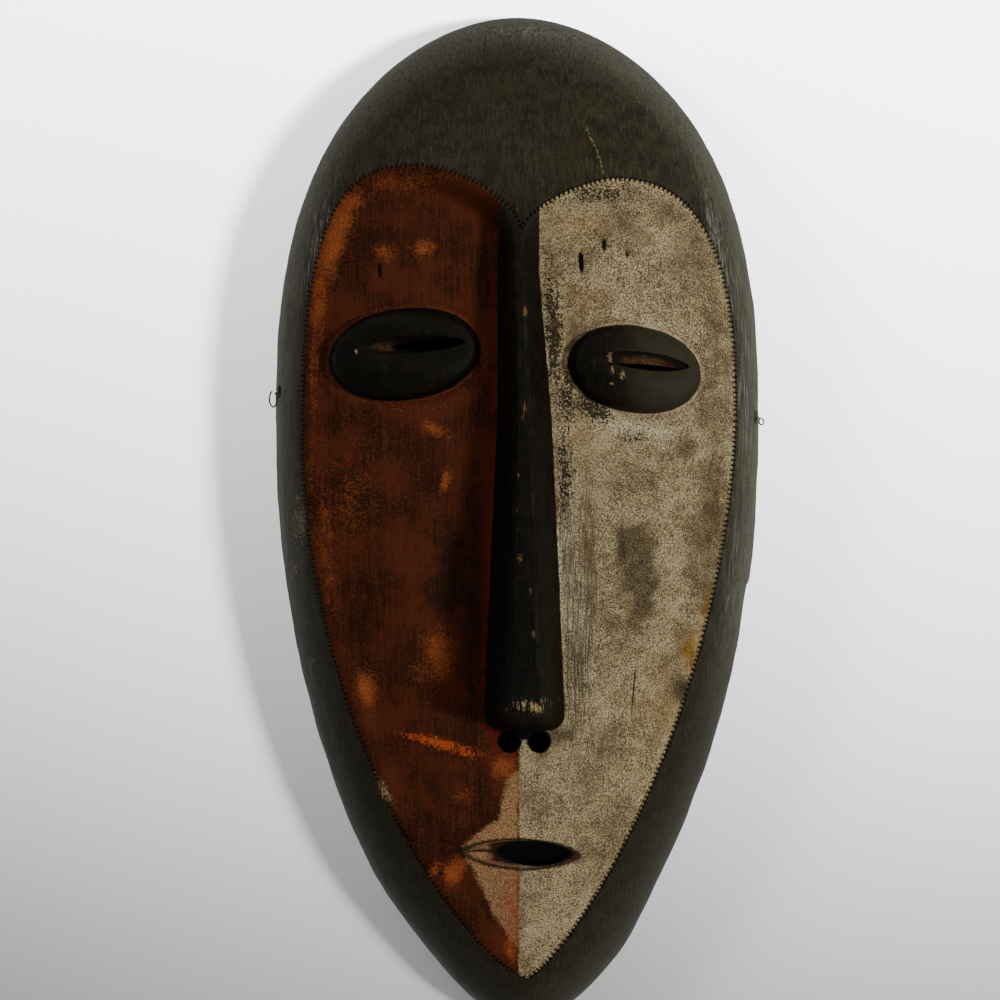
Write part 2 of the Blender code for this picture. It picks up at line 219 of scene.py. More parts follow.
class Line:
    """A closed line that tells how far inside it a point is, and how far along."""

    def __init__(self, points, step):
        closed = np.vstack([points, points[:1]])
        move = np.hypot(*np.diff(closed, axis=0).T)
        run = np.concatenate([[0.0], np.cumsum(move)])
        self.length = run[-1]
        count = int(round(self.length / step))
        at = np.linspace(0.0, self.length, count, endpoint=False)
        self.run = at
        self.points = np.column_stack(
            [np.interp(at, run, closed[:, 0]), np.interp(at, run, closed[:, 1])]
        )
        way = np.roll(self.points, -2, axis=0) - np.roll(self.points, 2, axis=0)
        self.way = way / np.linalg.norm(way, axis=1)[:, None]
        self.inward = np.column_stack([self.way[:, 1], -self.way[:, 0]])
        self.tree = tree_of(self.points)

    def near(self, x, y):
        n = np.array([self.tree.find((a, b, 0.0))[1] for a, b in zip(x, y)])
        off = np.column_stack([x, y]) - self.points[n]
        depth = np.hypot(off[:, 0], off[:, 1])
        side = np.sign((off * self.inward[n]).sum(axis=1) + 1e-12)
        before = (self.way * np.roll(self.way, 12, axis=0)).sum(axis=1)
        after = (self.way * np.roll(self.way, -12, axis=0)).sum(axis=1)
        doubt = (np.minimum(before, after) < 0.9)[n]
        side[doubt] = self.within(x[doubt], y[doubt])
        along = self.run[n] + np.where(doubt, 0.0, (off * self.way[n]).sum(axis=1))
        return side * depth, along

    def within(self, x, y):
        """1 for the places inside the line and -1 for those outside."""
        ax, ay = self.points.T
        bx, by = np.roll(self.points, -1, axis=0).T
        side = np.empty(x.shape)
        for k in range(0, len(x), 1000):
            px = x[k : k + 1000, None]
            py = y[k : k + 1000, None]
            over = (ay > py) != (by > py)
            at = ax + (py - ay) / np.where(by == ay, 1e-12, by - ay) * (bx - ax)
            side[k : k + 1000] = np.where((over & (px < at)).sum(axis=1) % 2, 1.0, -1.0)
        return side


def axes(tilt):
    return math.cos(math.radians(tilt)), math.sin(math.radians(tilt))


def local(x, y, shape):
    """Where a place lies in a shape, as shares of its half sizes."""
    cx, cy, long_half, short_half, tilt = shape[:5]
    c, s = axes(tilt)
    u = ((x - cx) * c + (y - cy) * s) / long_half
    v = (-(x - cx) * s + (y - cy) * c) / short_half
    return u, v


def turned(u, v, shape):
    """The places that lie u along and v across a shape, as columns."""
    c, s = axes(shape[4])
    x = shape[0] + u * c - v * s
    y = shape[1] + u * s + v * c
    return np.column_stack([x.ravel(), y.ravel()])


def nose_line(y):
    return NOSE_LEAN * smooth((0.105 - y) / 0.075)


def nose_half(y, most=1.0):
    """How far down the nose a row is, and half the nose's width there."""
    run = np.clip((BRIDGE_ROW - y) / (BRIDGE_ROW - TIP_ROW), 0.0, most)
    return run, BRIDGE_HALF + (TIP_HALF - BRIDGE_HALF) * run


def nose_part(x, y, dome, ground):
    run, base = nose_half(y)
    ridge = BRIDGE_RIDGE + (TIP_HEIGHT - BRIDGE_RIDGE) * run
    ridge = np.where(y < BRIDGE_ROW, np.maximum(ridge, dome), dome)
    top = BRIDGE_TOP_HALF + (TIP_TOP_HALF - BRIDGE_TOP_HALF) * run**1.6
    off = np.abs(x - nose_line(y))
    e = np.clip((off - top) / (base - top), 0.0, 1.0)
    across = 1.0 - (0.65 * e + 0.35 * smooth(e))
    crown = 0.0012 * np.clip(off / base, 0.0, 1.0) ** 2
    along = smooth((y - LIP_ROW) / (TIP_ROW - LIP_ROW))
    return np.maximum(ridge - crown - ground, 0.0) * across * along


def eye_gauge(x, y, eye):
    u, v = local(x, y, eye)
    return (np.abs(u) ** EYE_POWER + np.abs(v) ** 2.0) ** 0.5


def eye_part(x, y, eye, slit):
    r = eye_gauge(x, y, eye)
    edge = smooth((1.03 - r) / 0.12)
    bulge = EYE_BULGE * (0.42 * edge + 0.58 * np.clip(1.0 - r**2, 0.0, 1.0) ** 0.8)
    groove = -0.0009 * np.exp(-(((r - 1.07) / 0.06) ** 2))
    su, sv = local(x, y, slit)
    near = np.exp(-(np.abs(su) ** 4) - (sv / 2.6) ** 2)
    return bulge + groove - 0.0026 * near * (r < 1.0)


def lip_gauge(x, y):
    u, v = local(x, y, LIPS)
    return np.abs(u) ** LIP_POWER + np.abs(v) ** LIP_POWER


def front_height(x, y, depth):
    """The height of the solids' front, with depth as the distance inside the line."""
    t = np.clip(gauge(x, y), 0.0, 1.0)
    dome = dome_at(t)
    face = FACE_HEIGHT * (1.0 - t**5.0) ** (1 / 2.2)
    k = smooth(depth / LEDGE_WIDTH)
    ground = dome - k * (np.maximum(dome - face, 0.0) + LEDGE_DEPTH)
    z = ground + nose_part(x, y, dome, ground)
    z = z + eye_part(x, y, LEFT_EYE, LEFT_SLIT)
    z = z + eye_part(x, y, RIGHT_EYE, RIGHT_SLIT)
    return z - LIP_DEPTH * smooth((1.0 - lip_gauge(x, y)) / 0.55)


def back_height(x, y):
    t = np.clip(gauge(x, y, RIM_WIDTH, CHIN_RIM), 0.0, 1.0)
    deep = (FACE_HEIGHT - BACK_WALL) * (1.0 - t**3.2) ** (1 / 2.3)
    across = np.exp(-(((x - nose_line(y)) / 0.008) ** 2))
    foot = smooth((y + 0.0742) / 0.02)
    top = smooth((0.05 - y) / 0.06)
    return deep + 0.01 * across * foot * top


def drift(x, y, size, seed):
    """Smooth random hills from -1 to 1, about size apart."""
    cells = 97
    grid = np.random.default_rng(seed).uniform(-1.0, 1.0, (cells, cells))
    gx = x / size + 40.0
    gy = y / size + 40.0
    ix = np.floor(gx).astype(int)
    iy = np.floor(gy).astype(int)
    fx = smooth(gx - ix)
    fy = smooth(gy - iy)
    rows = []
    for row in (iy % cells, (iy + 1) % cells):
        rows.append(grid[ix % cells, row] * (1 - fx) + grid[(ix + 1) % cells, row] * fx)
    return rows[0] * (1 - fy) + rows[1] * fy


def nick_dip(x, y, nick):
    """How deep a nick is at a place."""
    u, v = local(x, y, nick)
    return nick[5] * np.exp(-(u**2) - np.abs(v) ** 3)


def stitch_turn(x, y, along):
    """Which stitch a place belongs to, as a number that grows by 1 from each to the next."""
    return along / STITCH_PITCH + 0.35 * drift(x, y, 0.006, 6)


def relief(x, y, depth, along):
    """The fine carving: cut stitches, a shallow groove along the line, nicks and the marks of the
    tools.
    """
    z = 0.00018 * drift(x, y, 0.013, 3) + 0.0001 * drift(x, y, 0.0055, 4)
    z = z + 0.00008 * drift(x, y * 0.25, 0.0022, 5)
    turn = stitch_turn(x, y, along)
    slant = np.where((x > 0.02) & (y < -0.03), 0.75, 0.15)
    phase = (turn + slant * depth / STITCH_PITCH) % 1.0
    cut = smooth((0.27 - np.abs(phase - 0.5)) / 0.12)
    reach = 0.0008 + 0.0003 * drift(x, y, 0.004, 7)
    z = z - STITCH_DEPTH * cut * smooth((reach + 0.0004 - np.abs(depth)) / 0.0005)
    z = z - 0.00012 * np.exp(-((depth / 0.0005) ** 2))
    for nick in NICKS:
        z = z - nick_dip(x, y, nick)
    return z


def even_outline(count, side=0.0, end=0.0):
    way, out = egg_reach(side, end)
    ex = out * np.cos(way)
    ey = out * np.sin(way) + WIDEST_ROW
    run = np.concatenate([[0.0], np.cumsum(np.hypot(np.diff(ex), np.diff(ey)))])
    at = np.linspace(0.0, run[-1], count, endpoint=False)
    return np.interp(at, run, ex), np.interp(at, run, ey)


def block(shape, wide, high, step, rise=1.0):
    """A small grid of points about a shape's middle, tilted as it is."""
    u = np.arange(-wide, wide + step / 2, step)
    v = np.arange(-high, high + step * rise / 2, step * rise)
    gu, gv = np.meshgrid(u, v)
    gu = gu + np.where(np.arange(len(v)) % 2, step / 2, 0.0)[:, None]
    return turned(gu, gv, shape)


def point_sets(line):
    """Where the front's points lie, each set with the gap between its points."""
    sets = []
    for off in (0.0, 0.32, -0.32, 0.62, -0.62, 0.95, -0.95, 1.35, -1.35):
        sets.append((line.points + line.inward * off / 1000, 0.00017))
    for nick in NICKS:
        sets.append((block(nick, 3 * nick[2], 1.5 * nick[3], 0.00038), 0.00025))
    for slit in (LEFT_SLIT, RIGHT_SLIT):
        sets.append((block(slit, slit[2] + 0.003, 0.0062, 0.0006), 0.0004))
    sets.append((block(LIPS, LIPS[2] + 0.003, 0.009, 0.00065), 0.0004))
    a = np.linspace(0.0, 2 * math.pi, 250, endpoint=False)
    for eye in (LEFT_EYE, RIGHT_EYE):
        for r in (0.86, 0.9, 0.94, 0.98, 1.02, 1.06, 1.11, 1.16):
            u = np.sign(np.cos(a)) * np.abs(np.cos(a)) ** (2 / EYE_POWER) * r * eye[2]
            sets.append((turned(u, np.sin(a) * r * eye[3], eye), 0.0004))
    rows = np.arange(LIP_ROW - 0.004, BRIDGE_ROW, 0.0011)
    tip_rows = np.arange(LIP_ROW - 0.004, TIP_ROW + 0.003, 0.0006)
    for y in np.concatenate([rows, tip_rows]):
        half = nose_half(y)[1]
        u = np.linspace(-1.12, 1.12, int(2.24 * half / 0.0009))
        row = np.full(u.shape, y)
        sets.append((np.column_stack([nose_line(row) + u * half, row]), 0.00042))
    flat = (0.0, 0.0, 0.0, 0.0, 0.0)
    sets.append((block(flat, 0.1, 0.2, 0.00128, math.sqrt(3) / 2), 0.00082))
    return sets


def front_points(line, ring):
    """All the front's points inside the ring, none too close to one before it."""
    every = ring
    for gap, sets in groupby(point_sets(line), key=lambda each: each[1]):
        points = np.vstack([each[0] for each in sets])
        points = points[gauge(points[:, 0], points[:, 1]) < INNER_SHARE - INNER_CLEAR]
        cell = np.round(points / (0.5 * gap)).astype(np.int64)
        _, first = np.unique(cell, axis=0, return_index=True)
        points = points[np.sort(first)]
        tree = tree_of(every)
        free = [tree.find((x, y, 0.0))[2] > gap for x, y in points]
        every = np.vstack([every, points[np.array(free)]])
    return every


def zipper(a, b):
    """Triangles between two rings of point numbers, which may differ in count."""
    faces = []
    i = j = 0
    n, m = len(a), len(b)
    while i < n or j < m:
        if j < m and (i >= n or (j + 1) / m <= (i + 1) / n):
            faces.append((a[i % n], b[j], b[(j + 1) % m]))
            j += 1
        else:
            faces.append((a[i], b[j % m], a[(i + 1) % n]))
            i += 1
    return faces


def wall_wander(x, y, z):
    """How far to each side the wall lies, with a small step and the marks of the tools."""
    dent = smooth((y + 0.0254) / 0.0024) * smooth((0.004 - y) / 0.026)
    dent = dent - smooth((-0.0238 - y) / 0.0024) * smooth((y + 0.05) / 0.022)
    low = smooth((z - RIM_CHAMFER) / 0.004)
    x = x + low * 0.00045 * dent * (x > 0)
    wave = 0.00022 * drift(x * 0.4 + z, y, 0.012, 11)
    wave = wave + 0.00012 * drift(y, np.full(y.shape, z), 0.0045, 12)
    x = x + low * wave * np.sign(x)
    return np.clip(x, -MASK_WIDTH / 2, MASK_WIDTH / 2)


def mask_mesh(line):
    """The points and faces of the front, the wall, the rim and the hollow."""
    count = OUTLINE_POINTS
    ox, oy = even_outline(count)
    ix, iy = even_outline(count, RIM_WIDTH, CHIN_RIM)
    oy_in = (oy - WIDEST_ROW) * INNER_SHARE + WIDEST_ROW
    ring = np.column_stack([ox * INNER_SHARE + lean(oy_in), oy_in])
    flat = front_points(line, ring)
    edges = [(k, (k + 1) % count) for k in range(count)]
    made = delaunay_2d_cdt([Vector(p) for p in flat.tolist()], edges, [], 1, 1e-8)
    spots = np.array([tuple(p) for p in made[0]])
    number = {old: new for new, olds in enumerate(made[3]) for old in olds}
    faces = []
    for f in made[2]:
        (ax, ay), (bx, by), (cx, cy) = spots[list(f)]
        turn = (bx - ax) * (cy - ay) - (by - ay) * (cx - ax)
        faces.append(tuple(f) if turn > 0 else tuple(f)[::-1])
    x, y = spots.T
    depth, along = line.near(x, y)
    z = front_height(x, y, depth) + relief(x, y, depth, along)
    verts = [np.column_stack([spots, z])]
    rings = [[number[k] for k in range(count)]]

    def add_ring(x, y, z):
        total = sum(map(len, verts))
        verts.append(np.column_stack([x, y, z]))
        rings.append(range(total, total + len(x)))

    for z_ring in np.linspace(dome_at(INNER_SHARE), RIM_CHAMFER, WALL_RINGS + 1)[1:]:
        t = (1.0 - (z_ring / DOME_HEIGHT) ** DOME_POWER) ** (1 / DOME_POWER)
        y = (oy - WIDEST_ROW) * t + WIDEST_ROW
        add_ring(wall_wander(ox * t + lean(y), y, z_ring), y, np.full(y.shape, z_ring))
    nx, ny = np.gradient(oy), -np.gradient(ox)
    size = np.hypot(nx, ny)
    x = ox - RIM_CHAMFER * nx / size
    y = oy - RIM_CHAMFER * ny / size
    add_ring(x + lean(y), y, 0.0 * x)
    add_ring(ix + lean(iy), iy, 0.0 * ix)
    for k in range(BACK_RINGS, 0, -1):
        share = math.sin(math.pi / 2 * k / (BACK_RINGS + 0.5)) ** 0.85
        x, y = even_outline(max(40, int(400 * share)), RIM_WIDTH, CHIN_RIM)
        y = y * share
        x = x * share + lean(y)
        marks = 0.00035 * drift(x, y, 0.009, 21) + 0.0002 * drift(x, y, 0.0045, 22)
        z = back_height(x, y) + marks * (k < BACK_RINGS - 1)
        add_ring(x, y, np.maximum(z, RIM_CHAMFER))
    for a, b in zip(rings[:-1], rings[1:]):
        faces += zipper(a, b)
    zero = np.zeros(1)
    end = rings[-1]
    last = sum(map(len, verts))
    verts.append(np.column_stack([zero, zero, back_height(zero, zero)]))
    faces += [(end[k], last, end[(k + 1) % len(end)]) for k in range(len(end))]
    return np.vstack(verts), faces


def add(name, verts, faces):
    mesh = bpy.data.meshes.new(name)
    mesh.from_pydata([tuple(map(float, v)) for v in verts], [], faces)
    mesh.validate()
    obj = bpy.data.objects.new(name, mesh)
    link(obj)
    return obj


def tube_faces(count, rings):
    """The two ends and the sides of a solid through rings of count points."""
    top = (rings - 1) * count
    faces = [tuple(range(count))[::-1], tuple(range(top, top + count))]
    for k in range(0, top, count):
        for j in range(count):
            a, b = k + j, k + (j + 1) % count
            faces.append((a, b, b + count, a + count))
    return faces


def loft(name, stages, count=64):
    """A closed cutter through almonds, each at a height or a small depth below the front."""
    a = 2 * math.pi * (np.arange(count) + 0.5) / count
    across = np.sin(a) * np.abs(np.sin(a)) ** 0.25
    verts = []
    for z, shape in stages:
        ring = turned(np.cos(a) * shape[2], across * shape[3], shape)
        level = np.full(count, z)
        if 0.0 < z < MOST_DEPTH:
            level = front_height(ring[:, 0], ring[:, 1], np.full(count, 0.05)) - z
        verts.append(np.column_stack([ring, level]))
    return add(name, np.vstack(verts), tube_faces(count, len(stages)))


def side_cutter(name, row, side):
    count = 28
    a = 2 * math.pi * np.arange(count) / count
    r = HOLE_DIAMETER / 2 * (1.0 + HOLE_WANDER * np.sin(3 * a))
    rings = []
    for reach in (-3.0 * RIM_WIDTH, RIM_WIDTH):
        out = np.full(count, side * (MASK_WIDTH / 2 + reach))
        rings.append(np.column_stack([out, row + r * np.cos(a), HOLE_HEIGHT + r * np.sin(a)]))
    faces = tube_faces(count, 2)
    if side < 0:
        faces = [f[::-1] for f in faces]
    return add(name, np.vstack(rings), faces)


def cut_holes(obj):
    """Cuts the slits, nostrils, mouth and side holes, then removes the cutters."""
    low, high = -0.01, 0.12
    cutters = []
    for name, gap, lids in (("left", LEFT_GAP, LEFT_LIDS), ("right", RIGHT_GAP, RIGHT_LIDS)):
        stages = [(low, gap), (GAP_DEPTH, gap), (LID_DEPTH, lids), (high, lids)]
        cutters.append(loft(f"cut_{name}_slit", stages))
    cutters.append(loft("cut_mouth", [(low, MOUTH), (high, MOUTH)]))
    middle = float(nose_line(np.array(NOSTRIL_ROW)))
    for side in (-1, 1):
        r = NOSTRIL_RADIUS
        at = (middle + side * NOSTRIL_APART / 2, NOSTRIL_ROW, r, r, 0.0)
        cutters.append(loft(f"cut_nostril_{side + 1}", [(low, at), (high, at)], 48))
    cutters.append(side_cutter("cut_left_hole", LEFT_HOLE_ROW, -1))
    cutters.append(side_cutter("cut_right_hole", RIGHT_HOLE_ROW, 1))
    for cutter in cutters:
        cut = obj.modifiers.new(cutter.name, "BOOLEAN")
        cut.operation = "DIFFERENCE"
        cut.solver = "MANIFOLD"
        cut.object = cutter
    bpy.context.view_layer.update()
    graph = bpy.context.evaluated_depsgraph_get()
    mesh = bpy.data.meshes.new_from_object(obj.evaluated_get(graph))
    obj.modifiers.clear()
    mesh.materials.clear()
    obj.data = mesh
    for cutter in cutters:
        bpy.data.objects.remove(cutter, do_unlink=True)


# Paint worn, thick or stained, and painted light and shade: round shapes in mm, each with its
# strength
MARKS = {
    # Orange paint, with a painted band of light along the left edge of the red
    "orange": (
        (-69.9, 108.3, 4.9, 17, -14, 1), (-65, 120.8, 7.6, 4.9, 38, 0.8),
        (-76, 86.8, 3.4, 18.9, -4, 0.8), (-78.2, 57.3, 2.6, 22.7, 0, 0.5),
        (-79, 19.5, 2.6, 22.7, 0, 0.45), (-74.4, -16.4, 3.8, 18.9, 10, 0.5),
        (-66, 8, 12, 28, 0, 0.36), (-73, -2, 3, 12, 6, 0.55), (-27.5, 15, 1.8, 5, -12, 0.8),
        (-42.7, 128.4, 18.9, 3.8, 0, 0.5), (-50.3, 101.9, 4.5, 3.8, 0, 0.6),
        (-35.5, 103.4, 4.2, 3.4, 0, 0.75), (-29.5, -50.4, 5.3, 10.6, 0, 0.85),
        (-35.5, -56.8, 5.3, 5.3, 0, 0.45), (-57.4, -63.6, 3.6, 6.8, 10, 1),
        (-31.7, 34.7, 5.3, 3.4, -20, 0.65), (-5.2, -92.5, 4.8, 4.5, 0, 0.9),
        (-23.8, -133, 3.4, 5, -30, 1.1), (-32, -133.5, 1.8, 4.5, -30, 0.7),
        (-2.5, -162, 3, 7, 0, 0.7), (-20.8, -103.3, 4.5, 3.8, 0, 0.5), (-44.6, 43, 20.8, 3, 0, 0.3),
        (-67.3, -84.4, 3.8, 7.6, 15, 0.4), (-2.3, -148.6, 2.6, 17, 0, 0.6),
    ),
    "bright": (
        (-29.5, -84, 12.6, 1.9, -14, 1.1), (-21, -86.8, 5, 1.8, -18, 0.9),
        (-71, 103, 3, 11, -10, 0.3),
    ),
    # Darker red, and a painted shadow cast by the nose on the left cheek
    "dusk": (
        (-25.7, -22, 9.8, 23.4, -5, 0.8), (-17.4, -63.6, 5.3, 18.9, 0, 0.5),
        (-16.5, -22, 4.5, 46, 0, 0.8), (-61.6, 27.1, 9.1, 22.7, 0, 0.3),
        (-27.6, -101.4, 11.3, 10.6, 0, 0.6), (-52.1, -14.5, 7.6, 22.7, 0, 0.2),
    ),
    # Soot, and a painted shade band along the right edge of the white
    "soot": (
        (44.8, -11, 7, 10, 0, 0.85), (45.6, -19.5, 6.6, 11, 0, 0.95), (46.6, -28, 4.6, 12, 5, 0.9),
        (73.5, 0, 6.5, 38, -4, 0.66), (72, 45, 6, 20, 2, 0.45), (39.6, -9.9, 2, 7, 4, 1.25),
        (50.5, -24.5, 2, 5, -25, 1.1), (42, 112.5, 8, 5.5, -10, 0.5), (55.5, 118, 6, 5, -20, 0.55),
        (21, 66, 3.2, 12, 0, 0.7), (63, 28, 6, 7, -20, 0.6), (65, 100.8, 12.8, 18.1, -30, 0.5),
        (75.2, 68.7, 4.5, 26.5, 0, 0.45), (68.8, -14.5, 7.6, 26.5, 5, 0.5),
        (62.7, -64, 3.2, 3.8, 0, 1.45), (15.9, -80.6, 8.3, 3.8, 20, 0.7),
        (31, -80.6, 7.6, 5.3, -30, 0.4), (51.8, 8.2, 15.1, 18.9, 0, 0.25),
        (26.5, 61, 4.2, 13, 5, 0.85), (46, 105, 10, 7, -20, 0.35), (66, 20, 8, 16, 0, 0.35),
        (22, -60, 5, 20, 0, 0.3),
    ),
    "ochre": (
        (66.5, -52, 7, 9.8, 0, 0.8), (58.2, -71.9, 12.8, 16.6, 0, 0.65), (26, 84, 9, 6.5, 0, 0.65),
        (49.9, -101.4, 7.6, 11.3, 0, 0.4), (15.9, 15.8, 3, 22.7, 0, 0.3),
        (25.5, 112.5, 9.5, 5, 10, 0.75), (65.4, -48.5, 3.8, 9, -20, 1.2),
        (71.6, -31, 1.9, 9.5, -12, 1.2), (20.5, 62, 4, 20, 0, 0.75), (22, 34, 4, 14, 0, 0.6),
        (72, 2, 2.6, 30, -4, 0.55),
    ),
    "chalk": (
        (22.7, -44.7, 7.6, 34, -3, 0.7), (46.1, 35, 19, 4, -6, 0.65), (56, 101, 4.5, 2.6, -25, 0.55),
        (49.9, 75.5, 17.4, 2.6, -14, 0.6), (44, 91, 20, 9, -8, 0.48), (19, 0, 4.5, 60, 2, 0.6),
        (15.9, -14.5, 3, 22.7, 0, 0.8), (27.2, 115.9, 9.8, 6.8, 0, 0.35),
        (8.3, 98.1, 1.9, 11.3, 0, 0.5),
    ),
    "flake": (
        (13.2, 72.4, 3.4, 22.7, 2, 1), (28, 43, 8.3, 4.2, -35, 1), (18.1, 47.9, 3.8, 15.1, 5, 0.8),
        (17.6, 17, 3, 18, 0, 0.85), (31, 123.5, 15.1, 3.8, 8, 0.75), (44.5, 31.5, 4.5, 2, 0, 0.75),
        (31, 37.5, 5, 2, -10, 0.6), (17, -8.8, 2.3, 15.1, 0, 0.4),
    ),
    "bare": (
        (2.5, 77.9, 0.8, 1.8, 0, 1.2), (2.1, 42.3, 0.7, 1.5, 0, 1), (1.4, 38.6, 0.6, 1.2, 0, 1),
        (0.2, 17.5, 0.6, 1.3, 0, 0.9), (-0.9, 4.5, 0.6, 1.2, 0, 0.8), (0.6, -13.3, 0.8, 1.5, 0, 1),
        (4.3, -25.2, 0.7, 1.4, 0, 0.8), (5.4, -40.7, 0.6, 1.3, 0, 0.8),
        (3.8, -66.6, 6.6, 2.6, 0, 0.55), (6.5, -67.8, 2.6, 2.2, 0, 0.8), (35.2, 57, 0.5, 1.3, 0, 0.9),
        (39.4, 54.8, 0.7, 1.5, 5, 1.1), (35.2, 51.9, 0.5, 0.5, 0, 1), (33.8, 61.8, 1.5, 0.6, 0, 0.9),
        (-60.9, 63.9, 0.6, 0.8, 0, 1.1), (-56.6, 64.9, 0.6, 0.6, 0, 1),
        (-50.6, -102.8, 1.7, 5.4, 28, 0.8),
    ),
    # Wiped paint, and a painted sheen along the edges
    "wipe": (
        (77, 104, 4, 28, 14, 0.62), (87, 50, 3.5, 45, 3, 0.5), (-77, 108, 4.5, 26, -16, 0.5),
        (3, 190, 26, 3, 0, 0.5), (82, -20, 3.5, 40, -8, 0.35),
    ),
    "scuff": (
        (-83.5, 0, 3.4, 10, -8, 0.9), (-84.5, 8, 1.6, 3, 0, 0.9), (-86, -18, 3, 5, 0, 0.7),
        (-79.9, -54.1, 1.5, 1.9, 0, 0.8), (85, 24, 3, 6, 0, 0.4), (37, 158, 10, 8, 0, 0.25),
        (-38, 145, 14, 8, 0, 0.2),
    ),
    "comb": (
        (18.5, 0, 4.5, 50, 2, 0.7), (22.5, -48, 5.5, 30, 0, 0.95), (27, -18, 3.5, 30, 2, 0.95),
        (29, -84, 8, 9, -40, 0.5), (60, -68, 9, 16, -10, 0.4),
    ),
}

# Tan paint by the mouth, as the corners of three patches in mm, clockwise
TAN = (
    ((-21.5, -123.5), (-7.5, -112.5), (0.4, -111), (0.4, -128)),
    ((-7.5, -113), (-4, -97), (0.4, -94), (0.4, -118)),
    ((-21, -124), (0.4, -128), (0.4, -163), (-3.5, -160), (-9.5, -149)),
)


def stains(x, y, marks):
    total = np.zeros(x.shape)
    for mark in marks:
        u, v = local(x * 1000, y * 1000, mark)
        total = np.maximum(total, mark[5] * np.exp(-0.7 * (u**2 + v**2)))
    return total


def tan_depth(x, y):
    """How far inside the tan paint left of the middle a place is, in mm."""
    depths = []
    for corners in TAN:
        sides = []
        for (ax, ay), (bx, by) in zip(corners, corners[1:] + corners[:1]):
            off = (by - ay) * (x * 1000 - ax) - (bx - ax) * (y * 1000 - ay)
            sides.append(off / math.hypot(bx - ax, by - ay))
        depths.append(np.minimum.reduce(sides))
    return np.maximum.reduce(depths)


def nose_depth(x, y):
    """How far inside the black of the nose a place is, in metres."""
    half = nose_half(y, 1.15)[1]
    foot = NOSTRIL_ROW + 0.0045
    corner = 0.0065
    sx = np.abs(x - nose_line(y)) - (half - corner)
    sy = (foot + corner) - y
    out = np.hypot(np.maximum(sx, 0.0), np.maximum(sy, 0.0))
    depth = corner - np.where(sy > 0, out, sx)
    middle = nose_line(np.full(y.shape, NOSTRIL_ROW))
    off = np.abs(x - middle) - NOSTRIL_APART / 2
    ring = NOSTRIL_RADIUS + 0.0007 - np.hypot(off, y - NOSTRIL_ROW - 0.0003)
    between = np.minimum(-off, y - NOSTRIL_ROW - 0.0008)
    return np.maximum(depth, np.maximum(ring, between))


def almond_gauge(x, y, *shapes):
    """Below 1 inside any of the shapes."""
    spots = [local(x, y, shape) for shape in shapes]
    return np.minimum.reduce([(u**2 + np.abs(v) ** 1.6) ** 0.5 for u, v in spots])


def nick_share(x, y):
    """How deep the nicks are, in mm."""
    return np.maximum.reduce([nick_dip(x, y, nick) for nick in NICKS]) * 1000


def values_of(items, name):
    values = np.empty(len(items) * 3)
    items.foreach_get(name, values)
    return values.reshape(-1, 3).T


def write_fields(mesh, line):
    """Values at each point that the paint reads."""
    x, y, _ = values_of(mesh.vertices, "co")
    depth, along = line.near(x, y)
    eyes = [(1.0 - eye_gauge(x, y, eye)) * eye[3] for eye in (LEFT_EYE, RIGHT_EYE)]
    fields = {
        "edge": depth * 1000,
        "run": stitch_turn(x, y, along),
        "nose": nose_depth(x, y) * 1000,
        "eye": np.maximum(*eyes) * 1000,
        "tan": tan_depth(x, y),
        "lips": lip_gauge(x, y) ** (1 / LIP_POWER),
        "rim": (1.0 - gauge(x, y)) * 90,
        "nick": nick_share(x, y),
        "lid": almond_gauge(x, y, LEFT_LIDS, RIGHT_LIDS),
    }
    for name, marks in MARKS.items():
        fields[name] = stains(x, y, marks)
    for name, values in fields.items():
        layer = mesh.attributes.new(name, "FLOAT", "POINT")
        layer.data.foreach_set("value", values.astype(np.float32))


def sort_faces(mesh, line):
    """Gives each face its wood: 0 painted, 1 raw, 2 in the slits and the mouth."""
    x, y, z = values_of(mesh.polygons, "center")
    depth, _ = line.near(x, y)
    raw = z < front_height(x, y, depth) - 0.0012
    raw &= nick_share(x, y) < 0.05
    raw &= (gauge(x, y) < INNER_SHARE) | (z < 0.0004)
    raw |= values_of(mesh.polygons, "normal")[2] < -0.35
    off = np.maximum(np.abs(x - nose_line(y)) - NOSTRIL_APART / 2, 0.0)
    nostril = np.hypot(off, y - NOSTRIL_ROW) < NOSTRIL_RADIUS + 0.0003
    raw &= ~(nostril & (z > 0.03))
    for row in (LEFT_HOLE_ROW, RIGHT_HOLE_ROW):
        hole = np.hypot(y - row, z - HOLE_HEIGHT) < HOLE_DIAMETER * 0.54
        raw &= ~(hole & (np.abs(x) > 0.083))
    slit = almond_gauge(x, y, LEFT_LIDS, RIGHT_LIDS) < 0.985
    slit |= raw & (almond_gauge(x, y, MOUTH) < 1.03)
    slit &= z > 0.033
    kind = np.where(slit, 2, np.where(raw, 1, 0))
    mesh.polygons.foreach_set("material_index", kind.astype(np.int32))
    mesh.polygons.foreach_set("use_smooth", np.ones(len(mesh.polygons), bool))
    mesh.set_sharp_from_angle(angle=math.radians(42))
    mesh.update()


def tone(*screen):
    """A colour from its screen values, as the shader takes it."""
    shares = [c / 255 for c in screen]
    return (*(c / 12.92 if c < 0.04045 else ((c + 0.055) / 1.055) ** 2.4 for c in shares), 1.0)


